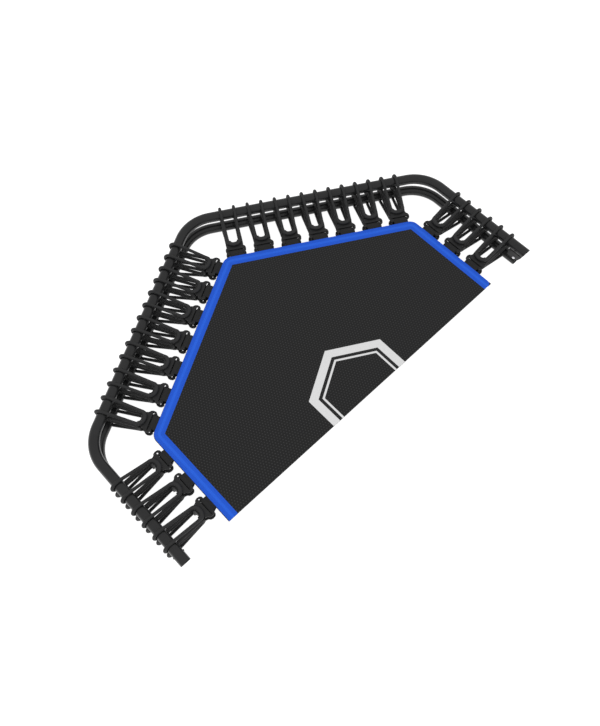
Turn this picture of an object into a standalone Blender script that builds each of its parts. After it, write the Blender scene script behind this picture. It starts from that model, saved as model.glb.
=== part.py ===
"""Half of a hexagonal fitness trampoline: a twin-tube frame, a jumping mat with a sewn edge binding,
and bungee rings that run from buckles on the mat around both tubes.

Units are metres, +Z is up. The frame opens towards -Y, where the other half of the hexagon would
join on. Heights marked "over the deck" are measured from the top of the edge binding.
"""

import math

import bmesh
import bpy
from mathutils import Matrix, Vector

# Driving dimensions
MAT_SIDE = 0.500  # side of the hexagon around the outer edge of the binding
FRAME_OFFSET = 0.1235  # from the binding's outer edge out to the tube's axis
TUBE_R = 0.013
TUBE_WALL = 0.0015
BEND_R = 0.095  # bend radius of the tube's axis at a corner
TUBE_SPACING = 0.047  # height between the axes of the two tubes
DECK_DROP = 0.011  # from the upper tube's axis down to the deck
CORD_R = 0.004
CORD_FLAT = 0.0036  # half the height of the cord's six-sided section where it lies under a tube
GAP = 0.0003  # clearance between touching pieces

# Frame ends, along Y from the hexagon's centre
UPPER_END = -0.0245
LOWER_END = -0.0045
UNDERCUT = math.radians(14)
TUBE_SIDES = 16
BEND_STEPS = 6

# Mat and binding
MAT_END = -0.0145
BINDING_WIDTH = 0.0247
BINDING_THICK = 0.003
BINDING_END_CHAMFER = 0.008
CORNER_STEPS = 4
MAT_THICK = 0.0014
MAT_TOP = -0.0008  # over the deck

# Hangers: each is one closed bungee ring and one buckle
STRAND_SPACING = 0.0363  # between a ring's two strands where they cross a tube
HANGER_PITCH = 2 * STRAND_SPACING
HOOK_V = 0.090  # where a ring crosses its buckle, in from the tube's axis
HOOK_START_V = 0.086
HOOK_FLAT = 0.0145  # half of the straight part of that crossing
TOP_LEVEL = 0.006  # heights of the four cord runs at the buckle, over the deck
UPPER_RETURN_LEVEL = -0.0026
LOWER_RETURN_LEVEL = -0.0209
BOTTOM_LEVEL = -0.0295
RETURN_V = 0.082
RETURN_DEPTH = 0.0052

# Buckle
TONGUE_HALF = 0.012
TONGUE_FRONT = 0.0785
BUCKLE_FRONT = 0.0945
BUCKLE_REAR = 0.116
BUCKLE_TOP = 0.002
BUCKLE_BOTTOM = -0.0252
BUCKLE_PLATE = 0.005  # thickness of its upper and lower plates
BAR_FRONT = 0.1075
BAR_REAR = 0.113
BAR_TOP = 0.0005
BAR_THICK = 0.003
CORE_HALF = 0.015
WINDOW_HALF = 0.0175
WINDOW_FRONT = 0.1045
EAR_HOLE = (0.0215, 0.109)
EAR_HOLE_R = 0.0022
PEG_R = 0.0019

# Webbing
TAB_HALF = 0.017
WEB_THICK = 0.0015
HEM_TOP = -0.0033
HEM_INNER_V = 0.137
HEM_OUTER_V = 0.1245

# Gusset plate and bolts at the frame's ends, heights over the deck
GUSSET_V = 0.008
GUSSET_THICK = 0.003
GUSSET_FAR = 0.022  # its end nearest the first hanger, along Y from the hexagon's centre
GUSSET_BOLT = (0.0015, -0.0196)  # Y from the hexagon's centre, height
GUSSET_BOLT_R = 0.0015
CROSS_BOLT_Y = 0.003
CROSS_BOLT_R = 0.002
CROSS_BOLT_PROUD = 0.0016

# Derived
MAT_APOTHEM = MAT_SIDE * math.cos(math.radians(30))
FRAME_APOTHEM = MAT_APOTHEM + FRAME_OFFSET
WRAP_R = TUBE_R + GAP + CORD_R
LOWER_Z = WRAP_R + CORD_FLAT
UPPER_Z = LOWER_Z + TUBE_SPACING
DECK_Z = UPPER_Z - DECK_DROP
PIVOT_Z = (LOWER_Z + UPPER_Z) / 2
FAR_REACH = (FRAME_APOTHEM - BEND_R) / math.cos(math.radians(30)) + BEND_R + TUBE_R
CENTRE_Y = -(FAR_REACH + UPPER_END) / 2  # hexagon's centre in the part's frame

# Each side: name, direction of its outward normal, hanger positions along it from its middle
FULL_SIDE = [HANGER_PITCH * step for step in range(-3, 4)]
RIGHT_HALF = [STRAND_SPACING * (1.5 + 2 * step) for step in range(3)]
LEFT_HALF = [-STRAND_SPACING * (1.25 + 2 * step) for step in range(3)]
SIDES = [
    ("right", 0, RIGHT_HALF),
    ("back_right", 60, FULL_SIDE),
    ("back_left", 120, FULL_SIDE),
    ("left", 180, LEFT_HALF),
]


def clear_scene():
    for obj in list(bpy.data.objects):
        bpy.data.objects.remove(obj)


def material(name, colour, roughness, metallic=0.0):
    made = bpy.data.materials.new(name)
    made.use_nodes = True
    shader = made.node_tree.nodes["Principled BSDF"]
    shader.inputs["Base Color"].default_value = (*colour, 1.0)
    shader.inputs["Roughness"].default_value = roughness
    shader.inputs["Metallic"].default_value = metallic
    return made


def add_object(name, data, parent=None, matrix=None):
    obj = bpy.data.objects.new(name, data)
    bpy.context.scene.collection.objects.link(obj)
    if parent:
        obj.parent = parent
    if matrix:
        obj.matrix_local = matrix
    return obj


def add_empty(name, matrix):
    empty = add_object(name, None, matrix=matrix)
    bpy.context.view_layer.update()
    return empty


def prism(name, outline, low, high, axis="Z"):
    """A closed solid: an outline of 2-D points, extruded from low to high along an axis."""
    place = {
        "X": lambda point, along: (along, point[0], point[1]),
        "Z": lambda point, along: (point[0], point[1], along),
    }[axis]
    mesh = bpy.data.meshes.new(name)
    shape = bmesh.new()
    rim = [shape.verts.new(place(point, low)) for point in outline]
    face = shape.faces.new(rim)
    raised = bmesh.ops.extrude_face_region(shape, geom=[face])["geom"]
    lift = Vector(place((0, 0), high - low))
    bmesh.ops.translate(shape, vec=lift, verts=[v for v in raised if isinstance(v, bmesh.types.BMVert)])
    bmesh.ops.recalc_face_normals(shape, faces=shape.faces)
    shape.to_mesh(mesh)
    shape.free()
    return add_object(name, mesh)


def box(name, low, high):
    corners = [(low[0], low[1]), (high[0], low[1]), (high[0], high[1]), (low[0], high[1])]
    return prism(name, corners, low[2], high[2])


def circle(centre, radius, sides):
    return [
        (
            centre[0] + radius * math.cos(math.tau * step / sides),
            centre[1] + radius * math.sin(math.tau * step / sides),
        )
        for step in range(sides)
    ]


def boolean(target, other, operation):
    modifier = target.modifiers.new(operation, "BOOLEAN")
    modifier.operation = operation
    modifier.object = other
    graph = bpy.context.evaluated_depsgraph_get()
    result = bpy.data.meshes.new_from_object(target.evaluated_get(graph))
    target.modifiers.clear()
    target.data = result
    bpy.data.objects.remove(other)


def finish_mesh(obj, coat, smooth=False):
    obj.data.materials.clear()
    obj.data.materials.append(coat)
    if smooth:
        obj.data.shade_smooth()
        obj.data.set_sharp_from_angle(angle=math.radians(35))


def hexagon_point(apothem, degrees):
    """The corner of a hexagon around the frame's centre, in the part's frame."""
    reach = apothem / math.cos(math.radians(30))
    turn = math.radians(degrees)
    return (reach * math.cos(turn), reach * math.sin(turn) + CENTRE_Y)


def half_hexagon(apothem, end_y):
    """From the right end round the three corners to the left end."""
    corners = [hexagon_point(apothem, degrees) for degrees in (30, 90, 150)]
    return [(apothem, end_y + CENTRE_Y), *corners, (-apothem, end_y + CENTRE_Y)]


def tube_stations(end_y):
    """Where the tube's sections lie along its axis: (centre, outward direction, is it a cut end)."""
    stations = [((FRAME_APOTHEM, end_y + CENTRE_Y), (1, 0), True)]
    for corner in (30, 90, 150):
        centre = hexagon_point(FRAME_APOTHEM - BEND_R, corner)
        for step in range(BEND_STEPS + 1):
            turn = math.radians(corner - 30 + 60 * step / BEND_STEPS)
            outward = (math.cos(turn), math.sin(turn))
            spot = (centre[0] + BEND_R * outward[0], centre[1] + BEND_R * outward[1])
            stations.append((spot, outward, False))
    stations.append(((-FRAME_APOTHEM, end_y + CENTRE_Y), (-1, 0), True))
    return stations


def frame_tube(name, axis_z, end_y, undercut, coat):
    """A bent tube, open at both ends: an outer and an inner skin swept along the right half side, three
    bends and the left half side. The ends are cut at a slant, so that the top reaches furthest."""
    shape = bmesh.new()

    def section(radius, centre, outward, is_end):
        ring = []
        for step in range(TUBE_SIDES):
            turn = math.tau * step / TUBE_SIDES
            side = radius * math.cos(turn)
            rise = radius * math.sin(turn)
            back = (TUBE_R - rise) * math.tan(undercut) if is_end else 0
            spot = (centre[0] + side * outward[0], centre[1] + side * outward[1] + back, axis_z + rise)
            ring.append(shape.verts.new(spot))
        return ring

    def bridge(ring, after):
        for step in range(TUBE_SIDES):
            beside = (step + 1) % TUBE_SIDES
            shape.faces.new((ring[step], ring[beside], after[beside], after[step]))

    stations = tube_stations(end_y)
    outer = [section(TUBE_R, *station) for station in stations]
    inner = [section(TUBE_R - TUBE_WALL, *station) for station in stations]
    loop = outer + inner[::-1]
    for ring, after in zip(loop, loop[1:] + loop[:1]):
        bridge(ring, after)
    bmesh.ops.recalc_face_normals(shape, faces=shape.faces)
    mesh = bpy.data.meshes.new(name)
    shape.to_mesh(mesh)
    shape.free()
    tube = add_object(name, mesh)
    finish_mesh(tube, coat, smooth=True)
    return tube


def cross_hole(sign):
    """A cutter for the cross bolt's hole in the upper tube."""
    outline = circle((CROSS_BOLT_Y + CENTRE_Y, UPPER_Z), CROSS_BOLT_R + GAP, 10)
    middle = sign * FRAME_APOTHEM
    return prism("cross_hole", outline, middle - 2 * TUBE_R, middle + 2 * TUBE_R, axis="X")


def cross_bolt(name, sign, coat):
    reach = TUBE_R + CROSS_BOLT_PROUD
    middle = sign * FRAME_APOTHEM
    outline = circle((CROSS_BOLT_Y + CENTRE_Y, UPPER_Z), CROSS_BOLT_R, 10)
    finish_mesh(prism(name, outline, middle - reach, middle + reach, axis="X"), coat)


def gusset(name, sign, coat):
    """A plate that joins the two tubes near a frame end, on their mat side, with a rounded free corner."""
    half_gap = math.sqrt((TUBE_R + GAP) ** 2 - (GUSSET_V - GUSSET_THICK / 2) ** 2)
    top = UPPER_Z - half_gap - GAP
    bottom = LOWER_Z + half_gap + GAP
    outline = [
        (GUSSET_FAR, bottom),
        (-0.006, bottom),
        (-0.012, bottom + 0.0075),
        (-0.016, bottom + 0.0155),
        (-0.018, top),
        (GUSSET_FAR, top),
    ]
    outline = [(y + CENTRE_Y, z) for y, z in outline]
    middle = sign * (FRAME_APOTHEM - GUSSET_V)
    plate = prism(name, outline, middle - GUSSET_THICK / 2, middle + GUSSET_THICK / 2, axis="X")
    hole = circle((GUSSET_BOLT[0] + CENTRE_Y, GUSSET_BOLT[1] + DECK_Z), GUSSET_BOLT_R + GAP, 10)
    boolean(plate, prism("hole", hole, middle - 0.01, middle + 0.01, axis="X"), "DIFFERENCE")
    finish_mesh(plate, coat)


def gusset_bolt(name, sign, coat):
    """A small bolt through the plate: head towards the mat, nut on the outer face."""
    centre = (GUSSET_BOLT[0] + CENTRE_Y, GUSSET_BOLT[1] + DECK_Z)
    middle = sign * (FRAME_APOTHEM - GUSSET_V)
    face = GUSSET_THICK / 2 + GAP
    length = 0.0025
    bolt = prism(name, circle(centre, GUSSET_BOLT_R, 10), middle - face - 0.001, middle + face + 0.001, axis="X")
    inner = prism("head", circle(centre, 0.003, 10), -length / 2, length / 2, axis="X")
    inner.location.x = middle - sign * (face + length / 2)
    outer = prism("nut", circle(centre, 0.0028, 6), -length / 2, length / 2, axis="X")
    outer.location.x = middle + sign * (face + length / 2)
    bpy.context.view_layer.update()
    boolean(bolt, inner, "UNION")
    boolean(bolt, outer, "UNION")
    finish_mesh(bolt, coat)


def edge_binding(parent, coat):
    """Flat tape with sharp inner corners. Its outer edge rounds each of them at the tape's own width."""
    inner = half_hexagon(MAT_APOTHEM - BINDING_WIDTH, MAT_END)
    end_y = MAT_END + CENTRE_Y
    outer = [
        (MAT_APOTHEM - 0.75 * BINDING_END_CHAMFER, end_y),
        (MAT_APOTHEM, end_y + 1.5 * BINDING_END_CHAMFER),
    ]
    for corner, degrees in zip(inner[1:4], (30, 90, 150)):
        for step in range(CORNER_STEPS + 1):
            turn = math.radians(degrees - 30 + 60 * step / CORNER_STEPS)
            reach = BINDING_WIDTH
            outer.append((corner[0] + reach * math.cos(turn), corner[1] + reach * math.sin(turn)))
    outer.append((-MAT_APOTHEM, end_y))
    strip = prism("edge_binding", outer + inner[::-1], DECK_Z - BINDING_THICK, DECK_Z)
    strip.parent = parent
    strip.matrix_parent_inverse = parent.matrix_world.inverted()
    finish_mesh(strip, coat)


def jump_mat(parent, coat):
    outline = half_hexagon(MAT_APOTHEM - BINDING_WIDTH - GAP, MAT_END)
    top = DECK_Z + MAT_TOP
    mat = prism("jump_mat", outline, top - MAT_THICK, top)
    mat.parent = parent
    mat.matrix_parent_inverse = parent.matrix_world.inverted()
    finish_mesh(mat, coat)


def side_matrix(degrees):
    """A side's own frame on its pivot line: X along the side, Y in towards the mat, Z up."""
    turn = Matrix.Rotation(math.radians(degrees + 90), 4, "Z")
    middle = Vector((0, CENTRE_Y, PIVOT_Z))
    outward = Vector((math.cos(math.radians(degrees)), math.sin(math.radians(degrees)), 0))
    return Matrix.Translation(middle + FRAME_APOTHEM * outward) @ turn


def over_pivot(level):
    """A height over the deck, as a height in a side's own frame."""
    return DECK_Z - PIVOT_Z + level


def wrap_points(axis_z, from_top):
    """Corners of the cord's path round the far side of a tube, from its top to its bottom or back."""
    reach = WRAP_R / math.cos(math.radians(22.5))
    turns = [67.5 + 45 * step for step in range(6)]
    spots = [
        (reach * math.cos(math.radians(turn)), axis_z - PIVOT_Z + reach * math.sin(math.radians(turn)))
        for turn in turns
    ]
    return spots if from_top else spots[::-1]


def ring_curve():
    """One closed bungee ring. It hooks over the buckle, runs round the upper tube, turns on the buckle's
    peg, runs round the lower tube, hooks under the buckle, and comes back the same way on its other side."""
    across = STRAND_SPACING / 2
    middle = over_pivot((UPPER_RETURN_LEVEL + LOWER_RETURN_LEVEL) / 2)
    upper_return = over_pivot(UPPER_RETURN_LEVEL)
    lower_return = over_pivot(LOWER_RETURN_LEVEL)
    turn_v = RETURN_V + RETURN_DEPTH
    turn_rise = 0.006
    strand = [
        (HOOK_FLAT, HOOK_V, over_pivot(TOP_LEVEL)),
        (across, HOOK_START_V, over_pivot(TOP_LEVEL)),
        *[(across, v, z) for v, z in wrap_points(UPPER_Z, from_top=True)],
        (across, RETURN_V, upper_return),
        (across, turn_v, middle + turn_rise),
        (across, turn_v, middle - turn_rise),
        (across, RETURN_V, lower_return),
        *[(across, v, z) for v, z in wrap_points(LOWER_Z, from_top=True)],
        (across, HOOK_START_V, over_pivot(BOTTOM_LEVEL)),
        (HOOK_FLAT, HOOK_V, over_pivot(BOTTOM_LEVEL)),
    ]
    route = strand + [(-u, v, z) for u, v, z in strand[::-1]]
    curve = bpy.data.curves.new("bungee_ring", "CURVE")
    curve.dimensions = "3D"
    curve.bevel_depth = CORD_R
    curve.bevel_resolution = 1
    spline = curve.splines.new("POLY")
    spline.points.add(len(route) - 1)
    for point, spot in zip(spline.points, route):
        point.co = (*spot, 1)
    spline.use_cyclic_u = True
    return curve


def buckle_mesh(coat):
    """The moulded buckle: a tongue with a peg on each side for the ring, two ears, and a bar for the webbing."""
    top_clear = over_pivot(TOP_LEVEL) - CORD_R - GAP
    bottom_clear = over_pivot(BOTTOM_LEVEL) + CORD_R + GAP
    lip = 0.002
    tongue_rear = HOOK_V - CORD_R - GAP
    buckle = box(
        "buckle",
        (-TONGUE_HALF, TONGUE_FRONT, over_pivot(BOTTOM_LEVEL) - lip),
        (TONGUE_HALF, tongue_rear, over_pivot(TOP_LEVEL) + lip),
    )
    neck_half = TONGUE_HALF - 0.0005
    neck_low = (-neck_half, tongue_rear - 0.002, bottom_clear)
    boolean(buckle, box("neck", neck_low, (neck_half, BUCKLE_FRONT + 0.003, top_clear)), "UNION")
    half_outline = [(0.021, BUCKLE_FRONT), (0.027, 0.101), (0.027, 0.106), (0.0235, BUCKLE_REAR)]
    outline = half_outline + [(-u, v) for u, v in half_outline[::-1]]
    body = prism("body", outline, over_pivot(BUCKLE_TOP - BUCKLE_PLATE), over_pivot(BUCKLE_TOP))
    lower_top = BUCKLE_BOTTOM + BUCKLE_PLATE
    boolean(body, prism("lower", outline, over_pivot(BUCKLE_BOTTOM), over_pivot(lower_top)), "UNION")
    window_low = (-WINDOW_HALF, WINDOW_FRONT, over_pivot(BUCKLE_BOTTOM) - 0.01)
    window_high = (WINDOW_HALF, BUCKLE_REAR + 0.01, over_pivot(BUCKLE_TOP) + 0.01)
    boolean(body, box("window", window_low, window_high), "DIFFERENCE")
    for level in (BAR_TOP, lower_top - 0.0005):
        bar_low = (-WINDOW_HALF - 0.001, BAR_FRONT, over_pivot(level - BAR_THICK))
        bar_high = (WINDOW_HALF + 0.001, BAR_REAR, over_pivot(level))
        boolean(body, box("bar", bar_low, bar_high), "UNION")
    for sign in (-1, 1):
        hole = circle((sign * EAR_HOLE[0], EAR_HOLE[1]), EAR_HOLE_R, 8)
        boolean(body, prism("hole", hole, -0.04, 0.04), "DIFFERENCE")
    boolean(buckle, body, "UNION")
    core_low = (-CORE_HALF, BUCKLE_FRONT + 0.0005, over_pivot(BUCKLE_BOTTOM + 0.001))
    core_high = (CORE_HALF, WINDOW_FRONT - 0.0005, over_pivot(BUCKLE_TOP - 0.001))
    boolean(buckle, box("core", core_low, core_high), "UNION")
    peg_z = over_pivot((UPPER_RETURN_LEVEL + LOWER_RETURN_LEVEL) / 2)
    peg = circle((RETURN_V - 0.0015, peg_z), PEG_R, 6)
    boolean(buckle, prism("peg", peg, -0.0225, 0.0225, axis="X"), "UNION")
    finish_mesh(buckle, coat)
    mesh = buckle.data
    bpy.data.objects.remove(buckle)
    return mesh


def side_webbing(name, stations, parent, coat):
    """The loops that hold a side's buckles, sewn to one hem tape under the binding."""
    front = BAR_FRONT - GAP
    over_bar = BAR_TOP + GAP
    profile = [
        (front - WEB_THICK, HEM_TOP - WEB_THICK),
        (HEM_INNER_V, HEM_TOP - WEB_THICK),
        (HEM_INNER_V, HEM_TOP),
        (front, HEM_TOP),
        (front, over_bar),
        (BAR_REAR + 0.001, over_bar),
        (FRAME_OFFSET - 0.0006, -0.0002 - WEB_THICK),
        (FRAME_OFFSET - 0.0006, -0.0002),
        (BAR_REAR + 0.001, over_bar + WEB_THICK),
        (front - WEB_THICK, over_bar + WEB_THICK),
    ]
    profile = [(v, over_pivot(level)) for v, level in profile]
    low = (min(stations) - TAB_HALF - 0.003, HEM_OUTER_V, over_pivot(HEM_TOP - WEB_THICK) - 0.0002)
    high = (max(stations) + TAB_HALF + 0.003, HEM_INNER_V - 0.001, over_pivot(HEM_TOP) - 0.0002)
    web = box(name, low, high)
    for station in stations:
        loop = prism("loop", profile, station - TAB_HALF, station + TAB_HALF, axis="X")
        boolean(web, loop, "UNION")
    web.parent = parent
    finish_mesh(web, coat)


def main():
    clear_scene()
    steel = material("powder_coated_steel", (0.035, 0.035, 0.037), 0.5, 0.2)
    zinc = material("zinc_plated_steel", (0.62, 0.62, 0.64), 0.3, 1.0)
    mat_fabric = material("mat_fabric", (0.03, 0.03, 0.032), 0.85)
    blue_tape = material("blue_tape", (0.024, 0.11, 0.61), 0.8)
    cord = material("bungee_cord", (0.035, 0.035, 0.037), 0.75)
    plastic = material("black_plastic", (0.03, 0.03, 0.032), 0.45)
    tape = material("black_webbing", (0.025, 0.025, 0.027), 0.8)

    upper = frame_tube("upper_frame_tube", UPPER_Z, UPPER_END, UNDERCUT, steel)
    frame_tube("lower_frame_tube", LOWER_Z, LOWER_END, 0, steel)
    for side, sign in (("right", 1), ("left", -1)):
        boolean(upper, cross_hole(sign), "DIFFERENCE")
        cross_bolt("cross_bolt_" + side, sign, steel)
        gusset("end_gusset_" + side, sign, steel)
        gusset_bolt("gusset_bolt_" + side, sign, zinc)

    mat_carrier = add_empty("mat_carrier", Matrix.Translation((0, CENTRE_Y, DECK_Z)))
    edge_binding(mat_carrier, blue_tape)
    jump_mat(mat_carrier, mat_fabric)

    ring = ring_curve()
    ring.materials.append(cord)
    buckle = buckle_mesh(plastic)
    number = 0
    for side, degrees, stations in SIDES:
        hinge = add_empty("hinge_" + side, side_matrix(degrees))
        side_webbing("webbing_" + side, stations, hinge, tape)
        for station in stations:
            number += 1
            along = Matrix.Translation((station, 0, 0))
            add_object(f"bungee_ring_{number:02d}", ring, hinge, along)
            add_object(f"buckle_{number:02d}", buckle, hinge, along)


main()
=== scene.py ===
"""Looks for the half-hexagon fitness trampoline: smooth tubes, bungee rings, moulded buckles, sewn webbing,
edge binding and mat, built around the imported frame. Units are metres, +Z is up.

Heights marked "over the deck" are measured from the top of the edge binding. A side's own frame has X along
the side, Y in towards the mat from the tubes' line, and Z up from the deck.
"""

import math

import bmesh
import bpy
from mathutils import Matrix, Vector


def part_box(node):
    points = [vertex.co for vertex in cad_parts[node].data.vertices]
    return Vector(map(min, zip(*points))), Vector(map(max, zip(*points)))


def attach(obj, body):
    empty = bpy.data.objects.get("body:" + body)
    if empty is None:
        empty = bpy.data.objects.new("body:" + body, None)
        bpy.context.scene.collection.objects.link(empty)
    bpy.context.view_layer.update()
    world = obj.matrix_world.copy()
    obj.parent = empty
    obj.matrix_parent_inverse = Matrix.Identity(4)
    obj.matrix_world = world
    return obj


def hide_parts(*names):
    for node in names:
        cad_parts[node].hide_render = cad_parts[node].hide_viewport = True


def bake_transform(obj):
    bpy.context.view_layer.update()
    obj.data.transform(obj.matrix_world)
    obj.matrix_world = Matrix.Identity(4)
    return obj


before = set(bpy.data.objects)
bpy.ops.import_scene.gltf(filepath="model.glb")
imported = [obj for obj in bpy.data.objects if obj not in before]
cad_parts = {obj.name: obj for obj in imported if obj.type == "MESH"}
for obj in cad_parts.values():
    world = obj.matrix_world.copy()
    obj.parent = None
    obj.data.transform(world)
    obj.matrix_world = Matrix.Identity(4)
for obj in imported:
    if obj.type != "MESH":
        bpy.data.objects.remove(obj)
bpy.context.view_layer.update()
MM = 0.001
COS30 = math.cos(math.radians(30))

# Places read from the frame
mat_low, mat_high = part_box("jump_mat")
tape_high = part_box("edge_binding")[1]
upper_low, upper_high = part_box("upper_frame_tube")
lower_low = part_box("lower_frame_tube")[0]
CENTRE_Y = mat_high.y - mat_high.x / COS30
DECK_Z = tape_high.z
TAPE_APOTHEM = tape_high.x
MAT_APOTHEM = mat_high.x
TAPE_WIDTH = TAPE_APOTHEM - MAT_APOTHEM - 0.3 * MM
TUBE_R = (upper_high.z - upper_low.z) / 2
UPPER_Z = upper_low.z + TUBE_R
LOWER_Z = lower_low.z + TUBE_R
FRAME_APOTHEM = upper_high.x - TUBE_R
UPPER_OVER = UPPER_Z - DECK_Z
LOWER_OVER = LOWER_Z - DECK_Z

# Sizes of the frame and the rings. A ring's hook is the squarish arc that its cord makes round the buckle's
# tongue, and its return is the turn round the buckle's peg.
CORNERS = (30, 90, 150)  # the directions of the half hexagon's corners, in degrees
TUBE_WALL = 1.5 * MM
BEND_R = 95 * MM
UNDERCUT = math.radians(14)
CORD_R = 4 * MM
STRAND_SPACING = 36.3 * MM
HOOK_START = 79 * MM
HOOK_V = 92.3 * MM
HOOK_HALF = 15.9 * MM
HOOK_POWER = 0.85
RETURN_V = 76.5 * MM
TOP_LEVEL = 6 * MM  # over the deck, like the other three levels of a ring's runs
UPPER_RETURN = -2.4 * MM
LOWER_RETURN = -21.1 * MM
BOTTOM_LEVEL = -29.5 * MM
RETURN_MIDDLE = (UPPER_RETURN + LOWER_RETURN) / 2
RUN_SPACING = 20 * MM  # between the points along the tape's straight runs

# Each side's name, direction and the places of its hangers along it
FULL_SIDE = [2 * STRAND_SPACING * step for step in range(-3, 4)]
RIGHT_HALF = [STRAND_SPACING * (1.5 + 2 * step) for step in range(3)]
LEFT_HALF = [-STRAND_SPACING * (1.25 + 2 * step) for step in range(3)]
SIDES = [
    ("right", 0, RIGHT_HALF),
    ("back_right", 60, FULL_SIDE),
    ("back_left", 120, FULL_SIDE),
    ("left", 180, LEFT_HALF),
]


# ---------------------------------------------------------------- materials
def start_material(name):
    made = bpy.data.materials.new(name)
    made.use_nodes = True
    nodes = made.node_tree.nodes
    return made, nodes, made.node_tree.links, nodes["Principled BSDF"]


def shader_values(shader, **values):
    for name, value in values.items():
        shader.inputs[name.replace("_", " ")].default_value = value


def math_node(nodes, links, operation, first, second=None):
    node = nodes.new("ShaderNodeMath")
    node.operation = operation
    for socket, value in zip(node.inputs, (first, second)):
        if value is None:
            continue
        if isinstance(value, (int, float)):
            socket.default_value = value
        else:
            links.new(value, socket)
    return node.outputs[0]


def vector_node(nodes, links, operation, first, second=None):
    node = nodes.new("ShaderNodeVectorMath")
    node.operation = operation
    links.new(first, node.inputs[0])
    if second is not None:
        node.inputs[1].default_value = second
    return node.outputs["Value" if operation == "LENGTH" else "Vector"]


def noise(nodes, links, coordinates, scale, detail=3.0):
    node = nodes.new("ShaderNodeTexNoise")
    node.inputs["Scale"].default_value = scale
    node.inputs["Detail"].default_value = detail
    links.new(coordinates, node.inputs["Vector"])
    return node.outputs["Fac"]


def ramp(nodes, links, factor, low, high, colours):
    """Maps a factor between low and high to a blend of two colours. The first may be a node's output."""
    place = nodes.new("ShaderNodeMapRange")
    place.interpolation_type = "SMOOTHSTEP"
    place.inputs["From Min"].default_value = low
    place.inputs["From Max"].default_value = high
    links.new(factor, place.inputs["Value"])
    mix = nodes.new("ShaderNodeMix")
    mix.data_type = "RGBA"
    if isinstance(colours[0], tuple):
        mix.inputs["A"].default_value = (*colours[0], 1)
    else:
        links.new(colours[0], mix.inputs["A"])
    mix.inputs["B"].default_value = (*colours[1], 1)
    links.new(place.outputs["Result"], mix.inputs["Factor"])
    return mix.outputs["Result"]


def add_bump(nodes, links, shader, height, distance, strength):
    bump = nodes.new("ShaderNodeBump")
    bump.inputs["Distance"].default_value = distance
    bump.inputs["Strength"].default_value = strength
    links.new(height, bump.inputs["Height"])
    links.new(bump.outputs["Normal"], shader.inputs["Normal"])


def coordinates(nodes, kind):
    return nodes.new("ShaderNodeTexCoord").outputs[kind]


def speckled(name, tones, tone_scale, grain, bump, **values):
    """A colour that drifts between two tones, and a fine grain. grain is (scale, detail)."""
    made, nodes, links, shader = start_material(name)
    shader_values(shader, **values)
    place = coordinates(nodes, "Object")
    colour = ramp(nodes, links, noise(nodes, links, place, tone_scale), 0.3, 0.7, tones)
    links.new(colour, shader.inputs["Base Color"])
    add_bump(nodes, links, shader, noise(nodes, links, place, *grain), *bump)
    return made


def powder_coat(name, tones, roughness):
    grain = (1400, 2)
    bump = (0.05 * MM, 0.5)
    return speckled(name, tones, 18, grain, bump, Roughness=roughness, Specular_IOR_Level=0.40)


def crossed_waves(nodes, links, along, across, pitch, turns):
    """A diamond pattern from two sets of slanting waves, for a braid or a weave."""
    run = math_node(nodes, links, "MULTIPLY", along, math.tau / pitch)
    turn = math_node(nodes, links, "MULTIPLY", across, math.tau * turns)
    one = math_node(nodes, links, "SINE", math_node(nodes, links, "ADD", run, turn))
    other = math_node(nodes, links, "SINE", math_node(nodes, links, "SUBTRACT", run, turn))
    return math_node(nodes, links, "MULTIPLY", one, other)


def split_uv(nodes, links):
    split = nodes.new("ShaderNodeSeparateXYZ")
    links.new(coordinates(nodes, "UV"), split.inputs[0])
    return split.outputs["X"], split.outputs["Y"]


def bungee_cover():
    made, nodes, links, shader = start_material("bungee_cord")
    shader_values(shader, Roughness=0.62, Specular_IOR_Level=0.42)
    along, around = split_uv(nodes, links)
    braid = crossed_waves(nodes, links, along, around, 5 * MM, 6)
    colour = ramp(nodes, links, braid, -1.0, 1.0, [(0.0145, 0.0145, 0.015), (0.0225, 0.0225, 0.023)])
    links.new(colour, shader.inputs["Base Color"])
    add_bump(nodes, links, shader, braid, 0.12 * MM, 0.55)
    return made


def woven_tape(name, dark, light, pitch, gloss, rib=None):
    """Webbing or tape: UV runs in metres along and across it. rib is (middle, half width, colour)."""
    made, nodes, links, shader = start_material(name)
    shader_values(shader, Roughness=0.75, Specular_IOR_Level=gloss)
    along, across = split_uv(nodes, links)
    weave = crossed_waves(nodes, links, along, across, pitch, 1 / pitch)
    colour = ramp(nodes, links, weave, -0.8, 0.8, [dark, light])
    if rib:
        middle, half, rib_colour = rib
        away = math_node(nodes, links, "ABSOLUTE", math_node(nodes, links, "SUBTRACT", across, middle))
        colour = ramp(nodes, links, away, half * 1.15, half * 0.85, [colour, rib_colour])
    links.new(colour, shader.inputs["Base Color"])
    add_bump(nodes, links, shader, weave, 0.15 * MM, 0.6)
    return made


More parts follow.
